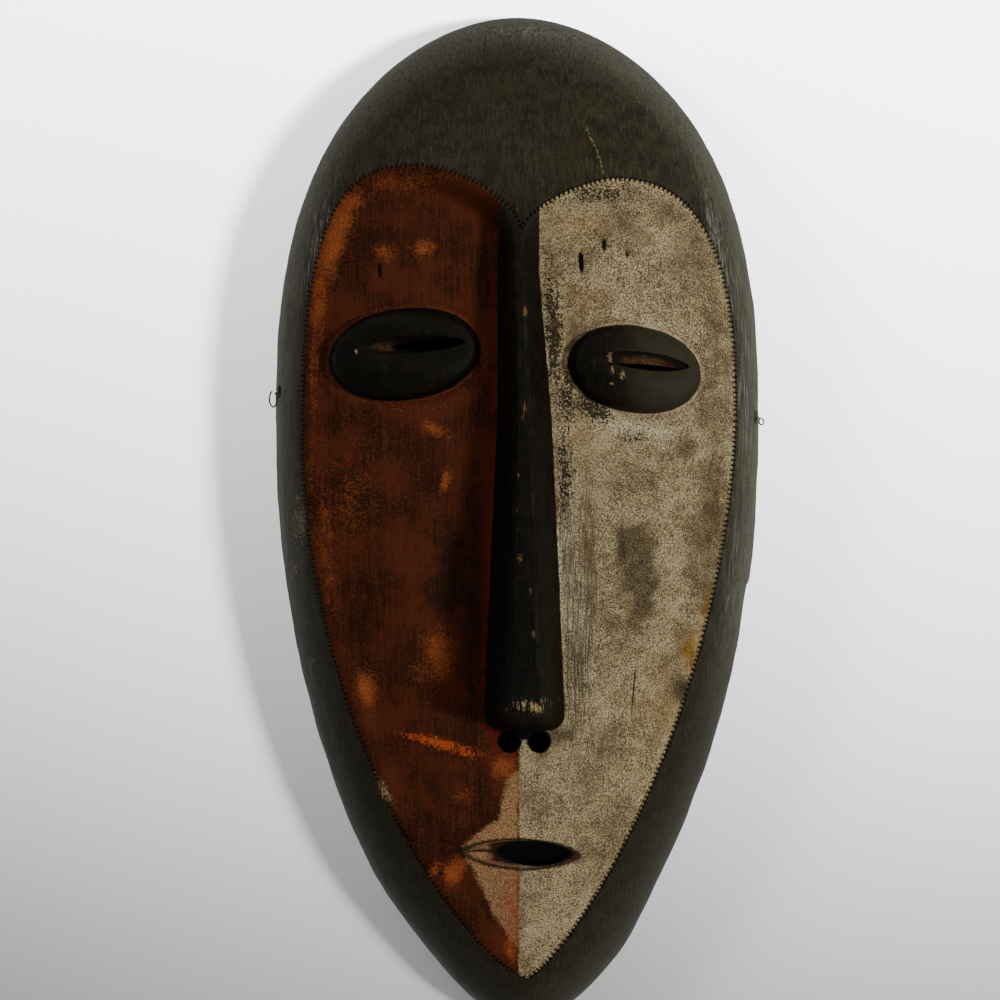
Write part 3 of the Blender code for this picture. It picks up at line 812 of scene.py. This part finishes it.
class Surface:
    """A material and short ways to add nodes to it."""

    def __init__(self, name):
        self.material = bpy.data.materials.new(name)
        self.material.use_nodes = True
        self.tree = self.material.node_tree
        coords = self.tree.nodes.new("ShaderNodeTexCoord")
        self.place = self.scaled(coords.outputs["Object"], (1000, 1000, 1000))

    def set(self, socket, value):
        """Sets a socket, or links it to a node's output or to the field of that name."""
        if isinstance(value, str):
            value = self.node("Attribute", {}, "Fac", attribute_name=value)
        if isinstance(value, bpy.types.NodeSocket):
            self.tree.links.new(value, socket)
        else:
            socket.default_value = value

    def node(self, kind, values, out=0, **options):
        """One output of a new node, with its options and its inputs set or linked."""
        node = self.tree.nodes.new("ShaderNode" + kind)
        for name, value in options.items():
            setattr(node, name, value)
        for key, value in values.items():
            self.set(node.inputs[key], value)
        return node.outputs[out]

    def scaled(self, vector, by):
        return self.node("VectorMath", {0: vector, 1: by}, operation="MULTIPLY")

    def parts(self):
        return self.node("SeparateXYZ", {0: self.place}).node.outputs

    def calc(self, kind, *values):
        return self.node("Math", dict(enumerate(values)), operation=kind)

    plus = partialmethod(calc, "ADD")
    minus = partialmethod(calc, "SUBTRACT")
    times = partialmethod(calc, "MULTIPLY")
    most = partialmethod(calc, "MAXIMUM")
    absolute = partialmethod(calc, "ABSOLUTE")
    fused = partialmethod(calc, "MULTIPLY_ADD")

    def total(self, *terms):
        """The sum of values, each with its weight."""
        out = self.times(*terms[0])
        for value, weight in terms[1:]:
            out = self.fused(value, weight, out)
        return out

    def ragged(self, value, *terms):
        """A value made uneven by noises, each about its middle and with its weight."""
        for noise, weight in terms:
            value = self.plus(value, self.fused(noise, weight, -weight / 2))
        return value

    def noise(self, by, detail=4.0, rough=0.55, warp=0.0):
        by = by if isinstance(by, tuple) else (by, by, by)
        values = {"Vector": self.scaled(self.place, by), "Scale": 1.0}
        values.update({"Detail": detail, "Roughness": rough, "Distortion": warp})
        return self.node("TexNoise", values)

    def step(self, value, low, high):
        values = {"Value": value, "From Min": low, "From Max": high}
        return self.node("MapRange", values, "Result", interpolation_type="SMOOTHSTEP")

    def blend(self, share, a, b):
        return self.node("Mix", {0: share, 2: a, 3: b}, data_type="FLOAT")

    def mix(self, share, a, b):
        """A colour between two, each from a node or given by its screen values."""
        a, b = (tone(*c) if isinstance(c, tuple) else c for c in (a, b))
        return self.node("Mix", {0: share, 6: a, 7: b}, 2, data_type="RGBA")

    def ramp(self, value, low, high, a, b):
        """A colour that turns from a to b while a value goes from low to high."""
        return self.mix(self.step(value, low, high), a, b)

    def coat(self, under, paint, strength, *where):
        """Paint over a colour, where a share says or a value goes from low to high."""
        share = self.step(*where) if len(where) == 3 else where[0]
        return self.mix(self.times(share, strength), under, paint)

    def line(self, x, y, start, end, width, bend):
        """1 along a thin line between two places, 0 elsewhere."""
        size = math.dist(start, end)
        dx, dy = (end[0] - start[0]) / size, (end[1] - start[1]) / size
        px, py = self.minus(x, start[0]), self.minus(y, start[1])
        along = self.total((px, dx), (py, dy))
        off = self.absolute(self.plus(self.total((px, -dy), (py, dx)), bend))
        ends = self.times(self.step(along, -0.5, 0.5), self.step(along, size + 0.5, size - 0.5))
        return self.times(self.step(off, width, width * 0.4), ends)

    def done(self, colour, rough, height, depth, strength=1.0, shine=0.5):
        """Joins the colour, the roughness and the bump to the shader."""
        shader = self.tree.nodes["Principled BSDF"]
        values = {"Strength": strength, "Distance": depth, "Height": height}
        self.set(shader.inputs["Base Color"], colour)
        self.set(shader.inputs["Roughness"], rough)
        self.set(shader.inputs["Normal"], self.node("Bump", values))
        shader.inputs["Specular IOR Level"].default_value = shine
        return self.material


def painted_wood():
    s = Surface("painted_wood")
    x, y, _ = s.parts()
    down = s.times(y, -1)
    fine = s.noise(1.05, 3, 0.6)
    dust = s.noise(1.9, 3, 0.6)
    grit = s.noise(1.75, 2, 0.5)
    mid = s.noise(0.17, 4, 0.6)
    broad = s.noise(0.045, 4, 0.55)
    grain = s.noise((1.15, 0.055, 0.6), 4, 0.6)
    hair = s.noise((4.2, 0.11, 1.5), 3, 0.6)
    strand = s.noise((2.1, 0.1, 1), 3, 0.6, 0.3)
    wobble = s.plus(s.fused(fine, 1.5, -0.75), s.fused(mid, 1.6, -0.8))
    on_nose = s.step(s.fused(wobble, 0.5, "nose"), -0.2, 0.25)
    on_eye = s.step(s.fused(wobble, 0.35, "eye"), -0.65, -0.15)
    dark_part = s.most(on_nose, on_eye)
    low_nose = s.times(on_nose, s.step(s.fused(mid, 30, down), -118, -84))
    dense_part = s.most(low_nose, on_eye)

    # Black paint, dusty on the forehead and the border, painted sheen on the border, denser on nose
    # and eyes
    dusty = s.total((grain, 0.42), (mid, 0.33), (fine, 0.25))
    black = s.ramp(dusty, 0.4, 0.62, (34, 32, 19), (57, 55, 41))
    black = s.coat(black, (54, 42, 26), 0.35, broad, 0.5, 0.68)
    black = s.coat(black, (84, 82, 68), 0.35, dust, 0.6, 0.72)
    # Lighter near the outline: dust, and a painted sheen and bounce light, strongest on the right
    # towards the light
    edge_streaks = s.total((grain, 0.6), (fine, 0.4))
    edge_dust_and_sheen = s.times(s.step("rim", 14, 3), s.step(edge_streaks, 0.28, 0.6))
    left_dust_and_sheen = s.times(s.step(y, -70, 60), 0.9)
    edge_dust_and_sheen = s.times(edge_dust_and_sheen, s.blend(s.step(x, -10, 20), left_dust_and_sheen, 1))
    edge_dust_and_sheen = s.times(edge_dust_and_sheen, s.fused(s.step(y, -90, 0), 0.65, 0.35))
    black = s.coat(black, (98, 96, 82), 0.75, edge_dust_and_sheen)
    black = s.coat(black, (26, 20, 10), 0.5, s.fused(mid, 20, down), 30, 100)
    # Pale streaks on the border and the top edge: wiped paint, and a painted sheen where the light
    # grazes the edge
    wipe = s.ragged("wipe", (grain, 1.8), (hair, 1.4))
    black = s.coat(black, (142, 140, 130), 0.75, wipe, 0.35, 1.1)
    scuff = s.ragged("scuff", (fine, 3), (hair, 2))
    black = s.coat(black, (146, 134, 108), 0.6, scuff, 0.75, 1.05)
    dense = s.ramp(dusty, 0.42, 0.62, (10, 7, 3), (25, 22, 12))
    # Painted shade: the left eye darker, away from the light on the right
    dense = s.coat(dense, (12, 9, 4), 0.75, x, -2, -16)
    # Painted shade on the left flank of the nose, which faces away from the light
    shade = s.times(s.step(x, 11, 5), s.step(down, -80, 20))
    dense = s.coat(dense, (8, 5, 3), 0.65, shade)
    dense = s.coat(dense, (28, 20, 11), 0.4, mid, 0.5, 0.7)
    # Painted light: the right eye lighter, towards the light
    dense = s.coat(dense, (56, 52, 38), 0.6, s.fused(mid, 14, x), 38, 58)
    dense = s.coat(dense, (92, 84, 62), 0.35, s.ragged(hair, (dust, 0.3)), 0.66, 0.74)
    black = s.mix(dense_part, black, dense)

    # Red earth paint
    streak = s.total((grain, 0.35), (broad, 0.25), (fine, 0.4))
    red = s.ramp(streak, 0.42, 0.58, (44, 18, 6), (80, 38, 18))
    red = s.coat(red, (34, 14, 5), 0.45, dust, 0.46, 0.62)
    red = s.coat(red, (86, 36, 18), 0.5, broad, 0.42, 0.6)
    red = s.coat(red, (36, 22, 9), 0.35, mid, 0.52, 0.7)
    # Darker red in places, and a painted shadow of the nose on the left cheek beside it
    murk_and_nose_shadow = s.plus("dusk", s.fused(mid, 1.1, -0.62))
    red = s.coat(red, (27, 16, 7), 0.78, murk_and_nose_shadow, 0.2, 0.85)
    # Orange paint, and a painted band of light along the left edge of the red, where the slope faces
    # the light
    warm_and_edge_light = s.step(s.ragged("orange", (fine, 1.3), (mid, 0.9)), 0.2, 1)
    warm_and_edge_light = s.times(warm_and_edge_light, s.fused(s.step(grit, 0.36, 0.6), 0.42, 0.5))
    red = s.mix(warm_and_edge_light, red, (150, 78, 38))
    glow = s.step(s.ragged("bright", (fine, 2.6), (grit, 2)), 0.45, 0.95)
    red = s.coat(red, (186, 80, 36), 0.72, s.times(glow, s.step("bright", 0.08, 0.35)))
    rim = s.times(s.step("eye", -3.2, -0.6), s.step(fine, 0.35, 0.65))
    red = s.coat(red, (120, 66, 36), 0.4, rim)
    foot = s.times(s.step("nose", -3.4, -1.2), s.step(down, -102, -84))
    foot = s.times(foot, s.times(s.step(mid, 0.36, 0.56), s.step(fine, 0.32, 0.56)))
    red = s.coat(red, (96, 22, 14), 0.8, foot)

    # Pale kaolin
    kaolin = s.total((grit, 0.74), (fine, 0.11), (strand, 0.15))
    white = s.ramp(kaolin, 0.39, 0.6, (92, 78, 52), (190, 172, 134))
    cloud = s.total((mid, 0.35), (broad, 0.35), (fine, 0.3))
    white = s.coat(white, (108, 91, 62), 0.55, cloud, 0.45, 0.62)
    white = s.coat(white, (184, 167, 130), 0.4, cloud, 0.49, 0.34)
    ochre = s.ragged("ochre", (mid, 1.2), (grain, 0.8))
    white = s.coat(white, (156, 122, 72), 0.55, ochre, 0.2, 0.95)
    yellow = s.times(s.step(ochre, 0.7, 1.1), s.step("ochre", 0.62, 0.85))
    white = s.coat(white, (132, 102, 26), 0.85, yellow)
    chalk = s.ragged("chalk", (grit, 1.8), (grain, 0.7))
    white = s.coat(white, (214, 200, 168), 0.72, chalk, 0.25, 0.9)
    ring = s.times(s.step("eye", -1.9, -0.5), s.step(fine, 0.38, 0.55))
    white = s.coat(white, (196, 182, 150), 0.6, ring)
    speck = s.fused("soot", 0.12, s.ragged(dust, (broad, 0.3), (mid, 0.3)))
    specks = s.step(speck, 0.53, 0.6)
    white = s.coat(white, (68, 53, 32), 0.75, specks)
    # Grey-brown soot, and a painted shade along the right edge of the white, where the face turns
    # away from the light
    soot = s.ragged("soot", (grit, 0.7), (mid, 0.4))
    lit = s.step(grit, 0.38, 0.6)
    sooty_and_shaded = s.mix(lit, (44, 36, 24), (98, 86, 62))
    white = s.coat(white, sooty_and_shaded, 0.82, soot, 0.25, 0.8)
    darkest = s.times(s.step(soot, 0.85, 1.35), s.fused(lit, -0.5, 0.8))
    white = s.mix(darkest, white, (38, 31, 22))
    comb = s.ragged("comb", (strand, 3.6), (grit, 1.2))
    white = s.coat(white, (64, 50, 34), 0.72, comb, 0.55, 0.85)
    flake = s.ragged("flake", (fine, 2.6), (grain, 1))
    white = s.coat(white, (34, 25, 18), 0.92, flake, 0.55, 0.75)
    lines = s.times(s.step(hair, 0.58, 0.66), s.step(down, 0, 60))
    white = s.coat(white, (86, 70, 48), 0.35, lines)

    # Thin tan paint that runs over the middle round the mouth
    tan = s.ramp(grit, 0.36, 0.62, (112, 74, 44), (166, 130, 92))
    tan = s.coat(tan, (74, 46, 26), 0.45, specks)
    blush = s.times(s.step(x, -9, -1.5), s.step(down, 124, 142))
    blush = s.times(blush, s.step(s.fused(mid, 0.4, fine), 0.5, 0.8))
    tan = s.coat(tan, (132, 64, 42), 0.85, blush)

    # The carved lips keep dirt along their edges
    lip = s.ragged("lips", (fine, 0.24))
    groove = s.times(s.step(lip, 0.8, 0.93), s.step(lip, 1.08, 0.99))
    inner = s.step(s.minus(lip, s.times(s.step(x, 4, 16), 0.16)), 0.84, 0.7)
    inner = s.times(inner, s.step(s.fused(mid, 8, x), -9.5, -5.5))
    dirt = s.most(s.times(groove, 0.85), s.times(inner, 0.95))

    # Which colour lies where
    worn = s.step(s.fused(wobble, 2.2, "tan"), -1, 1.2)
    side = s.step(s.fused(wobble, 0.9, s.minus(x, 0.4)), -0.5, 0.5)
    face = s.mix(side, s.mix(worn, red, tan), white)
    face = s.mix(dirt, face, (26, 17, 10))
    inside = s.step(s.fused(wobble, 0.55, "edge"), -0.25, 0.15)
    open_face = s.times(inside, s.minus(1, dark_part))
    colour = s.mix(open_face, black, face)

    # Cut stitches along the line
    phase = s.calc("FRACT", s.fused(wobble, 0.1, "run"))
    near = s.absolute(s.minus(phase, 0.5))
    off = s.fused(fine, 1, s.absolute("edge"))
    wide = s.fused(s.step(x, -8, 14), -0.55, off)
    stitch = s.times(s.step(near, 0.26, 0.15), s.step(wide, 1.02, 0.78))
    colour = s.coat(colour, (15, 11, 6), 0.9, stitch)

    # Nicks, hairline cracks and scratches
    colour = s.mix(s.step("nick", 0.18, 0.5), colour, (22, 13, 8))
    bend = s.fused(mid, 3, -1.5)
    left_crack = s.line(x, y, (-12.8, 176.4), (-12.6, 189), 0.35, bend)
    right_crack = s.line(x, y, (19.7, 178.2), (20.4, 188.5), 0.3, bend)
    colour = s.coat(colour, (16, 13, 9), 0.8, s.most(left_crack, right_crack))
    scratch = s.line(x, y, (26, 149), (32.5, 131), 0.5, bend)
    scratch = s.times(scratch, s.step(fine, 0.4, 0.58))
    colour = s.coat(colour, (140, 120, 72), 0.75, scratch)

    # Bare wood where the paint is rubbed through, browner on the upper nose
    bare = s.step(s.ragged("bare", (fine, 1.4), (hair, 2.4)), 0.5, 0.75)
    bare = s.times(bare, s.step("bare", 0.02, 0.2))
    upper = s.times(s.step(x, -8, -5), s.times(s.step(x, 14, 10), s.step(y, -60, -54)))
    colour = s.coat(colour, s.mix(upper, (158, 138, 94), (108, 80, 42)), 0.9, bare)

    rough = s.blend(open_face, s.fused(grain, 0.26, 0.44), s.fused(fine, 0.2, 0.68))
    height = s.total((grain, 0.9), (fine, 0.6), (hair, 0.25))
    return s.done(colour, rough, height, 0.00022, 0.8, 0.09)


def raw_wood():
    s = Surface("raw_wood")
    grain = s.noise((1, 0.05, 0.8), 5, 0.6, 0.2)
    fine = s.noise(0.9, 4, 0.6)
    mid = s.noise(0.06, 4, 0.6)
    wood = s.ramp(grain, 0.35, 0.65, (88, 60, 30), (134, 98, 52))
    wood = s.coat(wood, (66, 44, 22), 0.6, mid, 0.45, 0.7)
    wood = s.coat(wood, (58, 40, 24), 0.4, fine, 0.58, 0.7)
    return s.done(wood, s.fused(grain, 0.2, 0.66), s.fused(fine, 0.5, grain), 0.0003)


def slit_wood():
    """Wood in the slits and mouth, with painted shade deep in and in the left slit, and a pale chip
    in the right slit.
    """
    s = Surface("slit_wood")
    x, y, z = s.parts()
    grit = s.noise(1.5, 3, 0.6)
    mid = s.noise(0.35, 3, 0.6)
    wood = s.ramp(grit, 0.38, 0.62, (46, 31, 13), (96, 68, 34))
    wood = s.coat(wood, (46, 27, 14), 0.7, mid, 0.46, 0.66)
    lid = s.fused(grit, 0.5, s.fused(mid, 0.3, "lid"))
    # Painted shade under the edges of the lids
    wood = s.mix(s.step(lid, 1.08, 1.28), wood, (14, 9, 5))
    left_slit_shade = s.step(x, 20, 10)
    patchy_x = s.fused(mid, 8, x)
    # Painted shade: the left slit, the slits' far ends, the deeper walls and the mouth darker
    ends = s.most(s.times(s.step(patchy_x, -44.5, -40.5), left_slit_shade), s.step(patchy_x, 60, 64))
    deep = s.most(s.step(z, 48.4, 46.5), s.step(y, -40, -60))
    wood = s.coat(wood, (26, 16, 8), 0.5, left_slit_shade)
    wood = s.mix(s.most(deep, ends), wood, (20, 8, 6))
    chip = s.absolute(s.fused(grit, 4, s.minus(x, 36.4)))
    wood = s.coat(wood, (140, 120, 78), 0.6, chip, 1, 0.4)
    return s.done(wood, s.fused(grit, 0.2, 0.68), grit, 0.0003, shine=0.15)


def wire_metal():
    s = Surface("wire_metal")
    x = s.parts()[0]
    patch = s.noise(0.9, 4, 0.6)
    pits = s.noise(5, 3, 0.6)
    red = s.ramp(patch, 0.4, 0.6, (46, 22, 12), (88, 44, 26))
    grey = s.ramp(patch, 0.4, 0.6, (40, 37, 34), (76, 71, 64))
    colour = s.mix(s.step(s.fused(patch, 30, x), -10, 40), red, grey)
    s.tree.nodes["Principled BSDF"].inputs["Metallic"].default_value = 0.15
    return s.done(colour, s.fused(pits, 0.35, 0.3), pits, 0.00004)


def wall_x(row, side):
    """Where the wall's outside is at the height of the side holes."""
    xs = np.linspace(0.5, 1.0, 400) * MASK_WIDTH / 2 * side
    t = np.clip(gauge(xs, np.full(xs.shape, row)), 0.0, 1.0)
    return float(np.interp(-HOLE_HEIGHT, -dome_at(t), xs))


def curl(cx, cy, rx, ry, start, side):
    """A curl outside a hole, which lifts and moves out a little as it turns."""
    path = []
    for j in range(15):
        far = j / 14
        a = math.radians(start - 330 * far)
        x = cx + rx * math.cos(a) + side * 0.0004 * far
        path.append((x, cy + ry * math.sin(a), HOLE_HEIGHT + 0.0014 * far))
    return path


def wire_path():
    clear = WIRE_DIAMETER / 2 + 0.0005
    left = wall_x(LEFT_HOLE_ROW, -1) - clear
    right = wall_x(RIGHT_HOLE_ROW, 1) + clear
    path = curl(left - 0.0013, LEFT_HOLE_ROW - 0.003, 0.0013, 0.003, 60, -1)[::-1]
    across = np.linspace(left + 0.004, right - 0.004, 33)
    share = (across - across[0]) / (across[-1] - across[0])
    row = LEFT_HOLE_ROW + (RIGHT_HOLE_ROW - LEFT_HOLE_ROW) * share
    bow = np.clip((share - 0.12) / 0.76, 0.0, 1.0)
    row = row + WIRE_BOW * np.sin(math.pi * bow) ** 2
    path += [(float(x), float(y), HOLE_HEIGHT) for x, y in zip(across, row)]
    path += curl(right + 0.0011, RIGHT_HOLE_ROW - 0.0017, 0.0011, 0.0013, 100, 1)
    return np.array(path)


def tube(name, path, diameter, sides=12):
    way = np.gradient(path, axis=0)
    way /= np.linalg.norm(way, axis=1)[:, None]
    turn = np.cross(way[0], (0.0, 0.0, 1.0))
    verts = []
    for p, d in zip(path, way):
        turn = turn - d * np.dot(turn, d)
        turn /= np.linalg.norm(turn)
        other = np.cross(d, turn)
        for j in range(sides):
            a = 2 * math.pi * j / sides
            verts.append(p + diameter / 2 * (math.cos(a) * turn + math.sin(a) * other))
    return add(name, verts, tube_faces(sides, len(path)))


def rounded(path, per=4):
    """The same path with points between, on a smooth curve through them."""
    out = []
    p = np.vstack([2 * path[0] - path[1], path, 2 * path[-1] - path[-2]])
    for k in range(1, len(p) - 2):
        for j in range(per):
            t = j / per
            a = 2 * p[k]
            b = p[k + 1] - p[k - 1]
            c = 2 * p[k - 1] - 5 * p[k] + 4 * p[k + 1] - p[k + 2]
            d = -p[k - 1] + 3 * p[k] - 3 * p[k + 1] + p[k + 2]
            out.append(0.5 * (a + b * t + c * t * t + d * t**3))
    out.append(path[-1])
    return np.array(out)


# The mask, drawn in by a hair so that it stays inside the box of the solids
INSIDE_BOX = (1.0, 0.9999, 0.9999)
stitched = Line(heart(), STITCH_PITCH / 6)
verts, faces = mask_mesh(stitched)
carved = add("carved_mask", verts * INSIDE_BOX, faces)
cut_holes(carved)
for wood in (painted_wood, raw_wood, slit_wood):
    carved.data.materials.append(wood())
write_fields(carved.data, stitched)
sort_faces(carved.data, stitched)
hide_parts("mask")
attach(carved, "root")

# The wire, a little thinner than the solid, so that it stays inside it
WIRE_CLEAR = 0.00004
wire = tube("wire", rounded(wire_path()), WIRE_DIAMETER - WIRE_CLEAR)
wire.data.materials.append(wire_metal())
wire.data.polygons.foreach_set("use_smooth", [True] * len(wire.data.polygons))
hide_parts("hanging_wire")
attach(wire, "root")


def floor_material(name, colour, glow=0.0):
    material = bpy.data.materials.new(name)
    material.use_nodes = True
    inputs = material.node_tree.nodes["Principled BSDF"].inputs
    inputs["Base Color"].default_value = (*colour, 1.0)
    inputs["Roughness"].default_value = 0.95
    inputs["Specular IOR Level"].default_value = 0.0
    inputs["Emission Strength"].default_value = glow
    return material


# The floor, which the camera sees and which gives no light back to the mask
corners = [(-3, -3, 0), (3, -3, 0), (3, 3, 0), (-3, 3, 0)]
ground = add("floor", corners, [(0, 1, 2, 3)])
ground.visible_diffuse = False
ground.visible_glossy = False
pale = floor_material("pale_floor", (0.45, 0.46, 0.455))
ground.data.materials.append(pale)
floor_only = bpy.data.collections.new("floor_only")
floor_only.objects.link(ground)

# Under it a ring that the camera does not see gives the mask a gentle glow from all round,
# and a plain sheet closes the ring's middle, so that no light comes up through the openings
count = 96
round_x, round_y = even_outline(count, 0.002, 0.002)
turns = np.arctan2(round_y, round_x)
low = np.full(count, -0.0005)
near_ring = np.column_stack([round_x + lean(round_y), round_y, low])
far_ring = np.column_stack([3 * np.cos(turns), 3 * np.sin(turns), low])
round_faces = [(k, k + count, (k + 1) % count + count, (k + 1) % count) for k in range(count)]
under = add("floor_glow", np.vstack([near_ring, far_ring]), round_faces)
under.data.materials.append(floor_material("pale_glow", (0.86, 0.87, 0.86), 0.7))
middle = add("floor_middle", near_ring, [tuple(range(count))])
middle.data.materials.append(pale)
middle.visible_camera = False
under.visible_camera = False


def area_light(name, place, size, power, colour, aim=(0.0, 0.0, 0.03), spread=180):
    data = bpy.data.lights.new(name, "AREA")
    data.shape = "DISK"
    data.size = size
    data.energy = power
    data.color = colour
    data.spread = math.radians(spread)
    lamp = bpy.data.objects.new(name, data)
    lamp.location = place
    way = Vector(aim) - Vector(place)
    lamp.rotation_euler = way.to_track_quat("-Z", "Y").to_euler()
    link(lamp)
    return lamp


# Soft light from the right and from above on the left, with more of both on the floor alone
KEY_PLACE = (1.3, -0.06, 1.28)
KEY_SIZE = 0.28
FLOOR_LIGHT = (0.98, 1.0, 0.99)
area_light("key", KEY_PLACE, KEY_SIZE, 24, (1.0, 0.985, 0.95))
area_light("fill", (-0.55, 0.95, 1.05), 0.7, 5, (1.0, 1.0, 0.97))
walls = [
    area_light("wall_key", KEY_PLACE, KEY_SIZE, 40, FLOOR_LIGHT, (0.19, 0.52, 0.0), 46),
    area_light("wall_fill", (-0.75, 0.4, 0.55), 0.35, 9.5, FLOOR_LIGHT, (-0.12, 0.38, 0.0), 68),
]
for lamp in walls:
    lamp.light_linking.receiver_collection = floor_only

world = bpy.data.worlds.new("studio")
world.use_nodes = True
sky = world.node_tree.nodes["Background"]
sky.inputs["Color"].default_value = (1.0, 1.0, 0.96, 1.0)
sky.inputs["Strength"].default_value = 0.22
bpy.context.scene.world = world

# The camera looks straight down, as the photograph was taken straight on
CAMERA_HEIGHT = 0.85
VIEW_WIDTH = 0.4
SENSOR_WIDTH = 36.0
view = bpy.data.cameras.new("camera")
view.sensor_width = SENSOR_WIDTH
view.lens = SENSOR_WIDTH * CAMERA_HEIGHT / VIEW_WIDTH
view.clip_start = 0.05
camera = bpy.data.objects.new("camera", view)
camera.location = (-0.0068, 0.0082, CAMERA_HEIGHT)
link(camera)
bpy.context.scene.camera = camera
